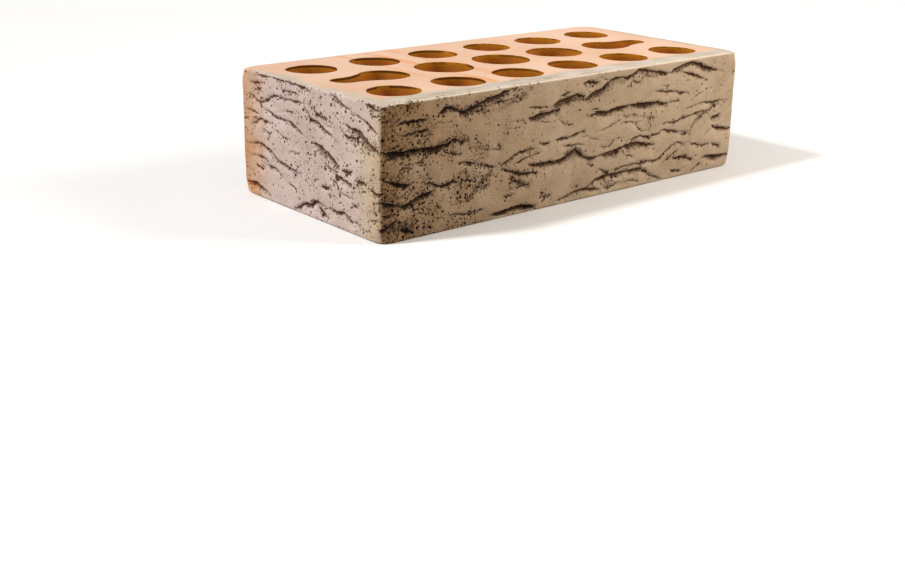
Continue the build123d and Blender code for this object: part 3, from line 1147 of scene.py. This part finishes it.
bark_material, tree = new_material("bark_face")
where = object_place(tree)
z = place(tree, "ShaderNodeSeparateXYZ", {0: where}).outputs["Z"]
drawn_down = place(tree, "ShaderNodeMapping", {"Vector": where, "Scale": (1.0, 1.0, 0.32)}).outputs[0]
fray = even_noise(tree, drawn_down, 0.7, 3.0, 0.7)
tear = even_noise(tree, where, 2.2, 5.0, 0.75)
grain = use_group(tree, grain_group, {"Grain mm": 0.5, "Contrast": 0.75})
fired_and_shaded = record(tree, "firing")
strong = record(tree, "strength")
pitting = record(tree, "pitted")
half = record(tree, "half")

# Clay and the engobe over it
body = tone(tree, (206, 161, 123), (193, 140, 100), 16.0)
pale_slip = tone(tree, (207, 188, 181), (194, 173, 164), 22.0)
front_slip = tone(tree, (202, 180, 153), (190, 166, 139), 30.0)
brown_slip = tone(tree, (155, 120, 83), (141, 105, 69), 20.0)
slip = mix_colours(tree, ease(tree, fired_and_shaded, 0.0, 0.5), pale_slip, front_slip)
# Browner where the firing record is high; that record holds kiln browning and painted shade
slip = mix_colours(tree, ease(tree, fired_and_shaded, 0.4, 1.2), slip, brown_slip)
cover = slip_cover(tree, 5.0, 9.0)
colour = mix_colours(tree, cover, body, slip)
colour = mix_colours(tree, 1.0, colour, grain.outputs["Shade"], "MULTIPLY")

# Painted brown shade around the furrows, in the pits and in the smears
shade_frayed = plus(tree, plus(tree, record(tree, "shade"), fray, 1.3), tear, 1.1)
shade_share = ease(tree, shade_frayed, 0.28, 0.95)
slip_shade = mix_colours(tree, ease(tree, fired_and_shaded, 0.2, 0.6), rgb(136, 102, 82), rgb(112, 96, 76))
shade_tone = mix_colours(tree, cover, rgb(196, 122, 58), slip_shade)
colour = mix_colours(tree, times(tree, shade_share, 0.9), colour, shade_tone, "MULTIPLY")

# Fine pits, painted dark as shade, in cells that noise pushes out of shape
push_mm = 1.8
push = place(tree, "ShaderNodeTexNoise", {"Vector": where, "Scale": 1 / (0.9 * MM), "Detail": 2.0})
push = vectors(tree, "SUBTRACT", push.outputs["Color"], (0.5, 0.5, 0.5))
pushed = vectors(tree, "MULTIPLY_ADD", push, (push_mm * MM, push_mm * MM, push_mm * MM), where)
small_pits = pit_cells(tree, pushed, 1.4, times(tree, pitting, 0.85), 0.16, 0.35)
large_pits = pit_cells(tree, pushed, 2.9, times(tree, pitting, 0.8), 0.15, 0.30)
blots = ease(tree, plus(tree, noise_at(tree, where, 1.6, 4.0, 0.75), pitting, 0.26), 0.80, 0.90)

# The gash, the painted shadow close under its lip, and the deepest painted shade where the brown shade is
# strongest
below = plus(tree, plus(tree, record(tree, "below"), fray, 2.6), tear, 2.6)
across = sums(tree, "SUBTRACT", sums(tree, "ABSOLUTE", sums(tree, "SUBTRACT", below, half)), half)
gash = ease(tree, plus(tree, across, fray, 0.7), 0.15, -0.15)
gash = times(tree, gash, ease(tree, plus(tree, strong, tear, 1.5), 0.10, 0.60))
lip_shadow = ease(tree, plus(tree, below, half, -0.45), 0.55, 0.15)
lip_shadow = times(tree, lip_shadow, ease(tree, strong, 0.15, 0.6))
deepest_shade = times(tree, ease(tree, shade_frayed, 0.85, 1.35), ease(tree, fired_and_shaded, 0.5, 0.8))
dark = most_of(tree, small_pits, large_pits, times(tree, blots, 0.75), times(tree, gash, lip_shadow), deepest_shade)

# Tones of the painted lip shadow and of the painted shade in the hollow, darker where the firing
# record, which holds kiln browning and painted shade, is high
dark_slip = mix_colours(tree, ease(tree, fired_and_shaded, 0.5, 1.0), rgb(73, 40, 25), rgb(20, 9, 3))
dark_tone = mix_colours(tree, cover, rgb(120, 60, 20), dark_slip)
hollow_shade_slip = mix_colours(tree, ease(tree, fired_and_shaded, 0.2, 0.5), rgb(107, 69, 52), rgb(114, 86, 66))
hollow_shade_slip = mix_colours(tree, ease(tree, fired_and_shaded, 0.52, 0.66), hollow_shade_slip, rgb(82, 59, 40))
hollow_shade_slip = mix_colours(tree, ease(tree, fired_and_shaded, 0.66, 0.95), hollow_shade_slip, rgb(38, 22, 12))
hollow_shade_tone = mix_colours(tree, cover, rgb(148, 82, 34), hollow_shade_slip)

# Painted highlights first: pale specks by the pits, pale lips and a pale line on the front arris; the painted
# shade and the dark go over them
highlight_specks = times(tree, ease(tree, noise_at(tree, where, 0.8, 2.0, 0.6), 0.58, 0.72), pitting, 0.6)
colour = mix_colours(tree, highlight_specks, colour, rgb(226, 210, 188))
lip_highlight = times(tree, ease(tree, below, -1.6, -0.5), ease(tree, below, 0.0, -0.4), strong, 0.14)
colour = mix_colours(tree, lip_highlight, colour, rgb(236, 222, 206))
# Painted highlight along the upper arris of the front
arris = times(tree, ease(tree, z, (height - 1.0) * MM, (height - 0.2) * MM), cover)
arris = times(tree, arris, ease(tree, fired_and_shaded, 0.15, 0.4, 0.10, 0.65))
colour = mix_colours(tree, arris, colour, rgb(232, 221, 204))
colour = mix_colours(tree, times(tree, gash, 0.92), colour, hollow_shade_tone)
colour = mix_colours(tree, times(tree, dark, 0.99), colour, dark_tone)

bump_height = times(tree, grain.outputs["Height"], 0.7)
for layer, amount in ((dark, -0.9), (gash, -0.6), (shade_share, -0.7), (tear, 0.6)):
    bump_height = plus(tree, bump_height, layer, amount)
roughness = ease(tree, grain.outputs["Height"], 0.2, 0.8, 0.74, 0.92)
finish_material(bark_material, colour, roughness, bump_height, 0.4)

# %% [markdown]
# The cut bed
#
# The wire leaves a smooth peach-coloured skin. Orange bands cross it where the kiln burned it deeper.
# The strip of engobe lies along the front and, narrower, along the ends. It carries fine drag lines,
# a few longer ones that are listed, and a tick at each nick of the arris.

# %% Bed material
bed_material, tree = new_material("cut_bed")
where = object_place(tree)
x, y, z = place(tree, "ShaderNodeSeparateXYZ", {0: where}).outputs
grain = use_group(tree, grain_group, {"Grain mm": 0.5, "Contrast": 0.10})
colour = tone(tree, (221, 187, 163), (213, 173, 144), 70.0)

# Bands of deeper orange: place along the brick, half width and depth of colour
kiln_bands = [(-63.5, 2.4, 0.8), (-45.5, 3.0, 0.95), (-48.5, 7.0, 0.35), (-31.0, 5.0, 0.55)]
band_lean = 0.032
band_x = plus(tree, x, even_noise(tree, where, 30.0, 3.0), 5.0 * MM)
band_x = plus(tree, band_x, y, band_lean)
band_keeps = ease(tree, noise_at(tree, where, 18.0, 3.0), 0.35, 0.6, 0.35, 1.0)
for centre, half_width, depth_of_colour in kiln_bands:
    off_centre = sums(tree, "ABSOLUTE", sums(tree, "SUBTRACT", band_x, centre * MM))
    share = ease(tree, off_centre, 1.3 * half_width * MM, 0.0, 0.0, depth_of_colour)
    colour = mix_colours(tree, times(tree, share, band_keeps), colour, rgb(219, 154, 104))

pale_strip = tone(tree, (199, 189, 174), (182, 170, 153), 14.0)
cover = slip_cover(tree, 1.6, 2.0)
colour = mix_colours(tree, times(tree, cover, 0.92), colour, pale_strip)

# Thin lines that the wire dragged over the strip: start, end and depth of colour
drag_lines = [
    ((-108, -54.5), (-92, -56.0), 0.5),
    ((-95, -51.5), (-58, -53.0), 0.45),
    ((-86, -56.0), (-66, -57.0), 0.5),
    ((-68, -52.0), (-38, -54.0), 0.45),
    ((-60, -49.5), (-24, -51.0), 0.45),
    ((-48, -56.2), (-16, -57.4), 0.5),
    ((-34, -52.8), (-6, -53.6), 0.4),
    ((-38, -48.0), (-31, -48.7), 0.85),
    ((-21, -54.6), (-14, -55.3), 0.8),
    ((3, -55.4), (10, -56.0), 0.6),
]
drag_lines += [((nick - length / 2 + 1.2, -55.8), (nick - length / 2, -59.8), 0.8) for nick in arris_nicks]
line_noise = even_noise(tree, where, 3.0, 4.0, 0.7)
on_top = sums(tree, "GREATER_THAN", z, height / 2 * MM)
for start, end, depth_of_colour in drag_lines:
    run = Vector((*end, 0)) - Vector((*start, 0))
    across_run = Vector((-run.y, run.x, 0)).normalized()
    from_start = vectors(tree, "SUBTRACT", where, Vector((*start, 0)) * MM)
    off_line = vectors(tree, "DOT_PRODUCT", from_start, across_run)
    gone = vectors(tree, "DOT_PRODUCT", from_start, run / run.length_squared / MM)
    wavy = plus(tree, off_line, line_noise, 1.4 * MM)
    on_line = ease(tree, sums(tree, "ABSOLUTE", wavy), 0.7 * MM, 0.2 * MM)
    ends = times(tree, ease(tree, gone, 0.0, 0.2), ease(tree, gone, 1.0, 0.7))
    share = times(tree, on_line, ends, on_top, depth_of_colour)
    colour = mix_colours(tree, share, colour, rgb(92, 70, 48))

# Fine drag marks, which are noise drawn out along the strip
drawn_out = place(tree, "ShaderNodeMapping",
                  {"Vector": where, "Rotation": (0, 0, 0.05), "Scale": (0.03, 1.0, 1.0)})
drag = noise_at(tree, drawn_out.outputs[0], 1.3, 3.0, 0.6)
drag_share = times(tree, ease(tree, drag, 0.58, 0.70), cover, 0.35)
colour = mix_colours(tree, drag_share, colour, rgb(128, 108, 86))
colour = mix_colours(tree, 1.0, colour, grain.outputs["Shade"], "MULTIPLY")
bump_height = plus(tree, times(tree, grain.outputs["Height"], 0.3), drag_share, -1.0)
roughness = ease(tree, grain.outputs["Height"], 0.2, 0.8, 0.7, 0.86)
finish_material(bed_material, colour, roughness, bump_height, 0.2)

# %% [markdown]
# The walls of the openings
#
# Inside the openings the clay kept its full orange, and painted shade makes it browner with depth. A
# mustard band lies under each rim, with the painted shadow of a burr here and there and a painted shadow
# line under the torn rim. The die that formed the openings left fine upright scratches, which are noise
# drawn out along Z.

# %% Wall material
wall_material, tree = new_material("opening_wall")
where = object_place(tree)
x, _, z = place(tree, "ShaderNodeSeparateXYZ", {0: where}).outputs
grain = use_group(tree, grain_group, {"Grain mm": 0.6, "Contrast": 0.18})
clay = tone(tree, (188, 112, 39), (158, 87, 22), 14.0)
upright_scale = place(tree, "ShaderNodeMapping", {"Vector": where, "Scale": (1.0, 1.0, 0.12)})
scratches = noise_at(tree, upright_scale.outputs[0], 2.4, 3.0, 0.6)
scratch_share = ease(tree, scratches, 0.35, 0.75, 0.0, 0.16)
colour = mix_colours(tree, scratch_share, clay, rgb(146, 84, 26))

# Painted shade, browner with depth, and mustard under the rim
from_middle = sums(tree, "ABSOLUTE", sums(tree, "SUBTRACT", z, height / 2 * MM))
depth_shade = ease(tree, from_middle, (height / 2 - 3.0) * MM, (height / 2 - 11.0) * MM, 0.0, 0.45)
colour = mix_colours(tree, depth_shade, colour, rgb(126, 62, 14))
rim_band = ease(tree, from_middle, (height / 2 - 3.4) * MM, (height / 2 - 1.0) * MM, 0.0, 0.7)
colour = mix_colours(tree, rim_band, colour, rgb(186, 122, 22))

# Painted shadow of a burr here and there, and the painted shadow line under the torn rim
from_rim = sums(tree, "SUBTRACT", height / 2 * MM, from_middle)
burr_top = ease(tree, from_rim, 0.2 * MM, 0.7 * MM)
burr_foot = ease(tree, from_rim, 2.0 * MM, 1.1 * MM)
burr_place = ease(tree, noise_at(tree, where, 26.0, 2.0, 0.5), 0.44, 0.50)
burr_side = ease(tree, x, 60.0 * MM, -40.0 * MM, 0.25, 0.9)
burr_share = times(tree, burr_top, burr_foot, burr_place, burr_side)
colour = mix_colours(tree, burr_share, colour, rgb(66, 32, 6))
rim_torn = even_noise(tree, where, 5.0, 5.0, 0.75)
rim_shadow = ease(tree, plus(tree, record(tree, "shade"), rim_torn, 2.0), 0.35, 0.9)
colour = mix_colours(tree, rim_shadow, colour, rgb(74, 42, 10))

colour = mix_colours(tree, 1.0, colour, grain.outputs["Shade"], "MULTIPLY")
bump_height = plus(tree, grain.outputs["Height"], scratches, 0.4)
roughness = ease(tree, scratches, 0.2, 0.8, 0.74, 0.9)
finish_material(wall_material, colour, roughness, bump_height, 0.25)

# %% [markdown]
# Floor and light
#
# A pale floor and a white world, with a soft sun from the left and behind that catches the end and the
# bed, and a warm lamp from the right that reaches along the front and fades towards the near corner.
# Only a direct look, or a reflection, sees the floor and the world as white. To the brick both are
# dimmer, so that less light comes from below and the furrows keep their shadows.

# %% Floor, world and lamps
def seen_directly(tree):
    """1 where the camera, a reflection or clear glass looks at a surface, 0 where only its light arrives."""
    ray = place(tree, "ShaderNodeLightPath").outputs
    return most_of(tree, ray["Is Camera Ray"], ray["Is Glossy Ray"], ray["Is Transmission Ray"])

reach = 6.0
floor_corners = [(-reach, -reach, 0), (reach, -reach, 0), (reach, reach, 0), (-reach, reach, 0)]
floor_mesh = bpy.data.meshes.new("floor")
floor_mesh.from_pydata(floor_corners, [], [(0, 1, 2, 3)])
floor = bpy.data.objects.new("floor", floor_mesh)
bpy.context.collection.objects.link(floor)

floor_material, tree = new_material("floor_white")
floor_colour = mix_colours(tree, seen_directly(tree), (0.35, 0.33, 0.31, 1), (0.93, 0.93, 0.93, 1))
floor_shader = place(tree, "ShaderNodeBsdfPrincipled",
                     {"Base Color": floor_colour, "Roughness": 0.9, "Specular IOR Level": 0.1})
place(tree, "ShaderNodeOutputMaterial", {"Surface": floor_shader.outputs[0]})
floor_mesh.materials.append(floor_material)

ambient = 0.42
world = bpy.data.worlds.new("white_room")
bpy.context.scene.world = world
world.use_nodes = True
tree = world.node_tree
tree.nodes.clear()
glow = plus(tree, ambient, seen_directly(tree), 1 - ambient)
sky = place(tree, "ShaderNodeBackground", {"Color": (1, 1, 1, 1), "Strength": glow})
place(tree, "ShaderNodeOutputWorld", {"Surface": sky.outputs[0]})

def new_lamp(name, kind, spot, power, colour):
    """A lamp that looks at the middle of the brick."""
    lamp = bpy.data.objects.new(name, bpy.data.lights.new(name, kind))
    lamp.data.energy = power
    lamp.data.color = colour
    lamp.location = spot
    towards = Vector((0, 0, height / 2 * MM)) - Vector(spot)
    lamp.rotation_euler = towards.to_track_quat("-Z", "Y").to_euler()
    bpy.context.collection.objects.link(lamp)
    return lamp.data

sun = new_lamp("left_sun", "SUN", (-1.0, 0.35, 0.95), 2.85, (1.0, 0.985, 0.97))
sun.angle = math.radians(9)
lamp = new_lamp("right_lamp", "AREA", (0.42, -0.50, 0.42), 3.4, (1.0, 0.90, 0.78))
lamp.size = 0.25
bpy.context.scene.view_settings.view_transform = "Standard"
